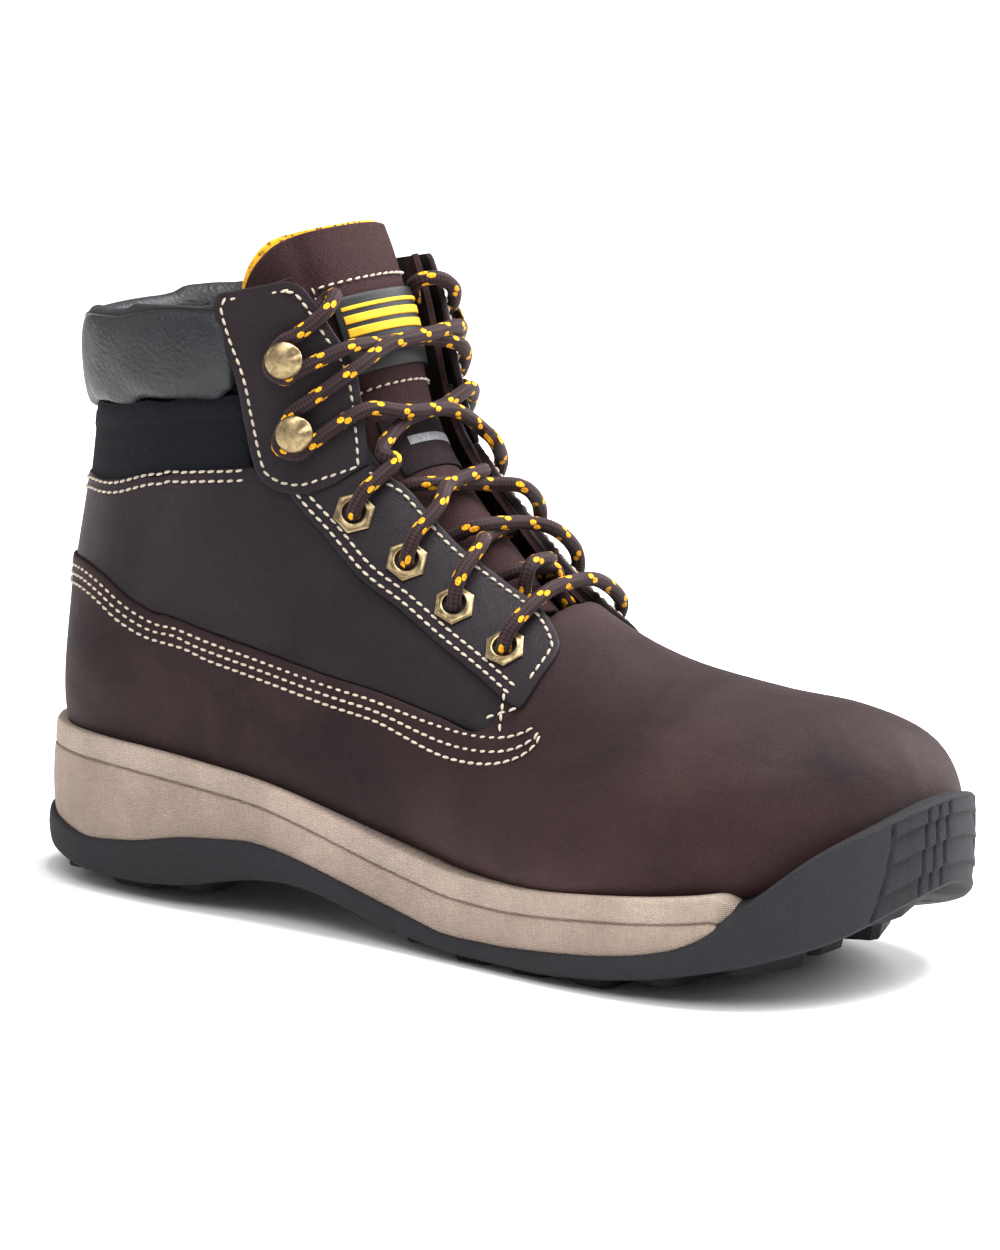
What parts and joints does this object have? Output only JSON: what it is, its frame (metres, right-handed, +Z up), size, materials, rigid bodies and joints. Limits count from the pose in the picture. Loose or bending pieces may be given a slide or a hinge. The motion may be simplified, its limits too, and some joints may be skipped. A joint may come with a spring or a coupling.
{
  "type": "steel toe work boot",
  "caption": "Right ankle-high lace-up safety boot with steel toe cap, padded collar, hinged tongue and removable footbed on a lugged sole.",
  "frame": {"origin": "on the ground under the middle of the boot's bounding box", "axes": "+X from heel to toe, +Y to the inner (medial) side, +Z up; the treads stand on Z = 0"},
  "size_m": [0.3038, 0.1098, 0.1976],
  "materials": {
    "outsole_rubber": "matt",
    "midsole_foam": "matt, fine knurl",
    "board": "matt",
    "footbed_fabric": "matt",
    "toe_steel": "satin",
    "vamp_leather": "waxed nubuck",
    "lining_fabric": "matt",
    "webbing": "twill",
    "collar_leather": "smooth",
    "strip_leather": "smooth",
    "quarter_leather": "waxed",
    "suede": "suede",
    "brass": "antique",
    "tongue_mesh": "mesh",
    "label_rubber": "satin",
    "label_woven": "woven",
    "lace_cord": "braided"
  },
  "bodies": {
    "boot": {"outsole": "outsole_rubber", "midsole": "midsole_foam", "insole_board": "board", "steel_toe_cap": "toe_steel", "heel_counter": "board", "vamp": "vamp_leather", "lining": "lining_fabric", "collar_band": "webbing", "collar_pad": "collar_leather", "back_strip": "strip_leather", "quarter_lateral": "quarter_leather", "quarter_medial": "quarter_leather", "eyelet_stay_lateral": "quarter_leather", "eyelet_stay_medial": "quarter_leather", "hook_flap_lateral": "quarter_leather", "hook_flap_medial": "quarter_leather", "facing_lining_lateral": "suede", "facing_lining_medial": "suede", "eyelet_lateral_1": "brass", "eyelet_lateral_2": "brass", "eyelet_lateral_3": "brass", "eyelet_lateral_4": "brass", "eyelet_medial_1": "brass", "eyelet_medial_2": "brass", "eyelet_medial_3": "brass", "eyelet_medial_4": "brass", "hook_lateral_1": "brass", "hook_lateral_2": "brass", "hook_medial_1": "brass", "hook_medial_2": "brass", "lace": "lace_cord"},
    "tongue": {"tongue": "suede", "tongue_lining": "tongue_mesh", "tongue_label": "label_rubber", "woven_label": "label_woven"},
    "footbed": {"footbed": "footbed_fabric"}
  },
  "joints": [
    {"name": "tongue_hinge", "type": "hinge", "parent": "boot", "child": "tongue", "pos_m": [0.02725, 0.00233, 0.087], "axis": [0, 1, 0], "range_deg": [-12, 0]},
    {"name": "footbed_lift", "type": "hinge", "parent": "boot", "child": "footbed", "pos_m": [0.11225, 0.00233, 0.034], "axis": [0, 1, 0], "range_deg": [0, 4]}
  ]
}
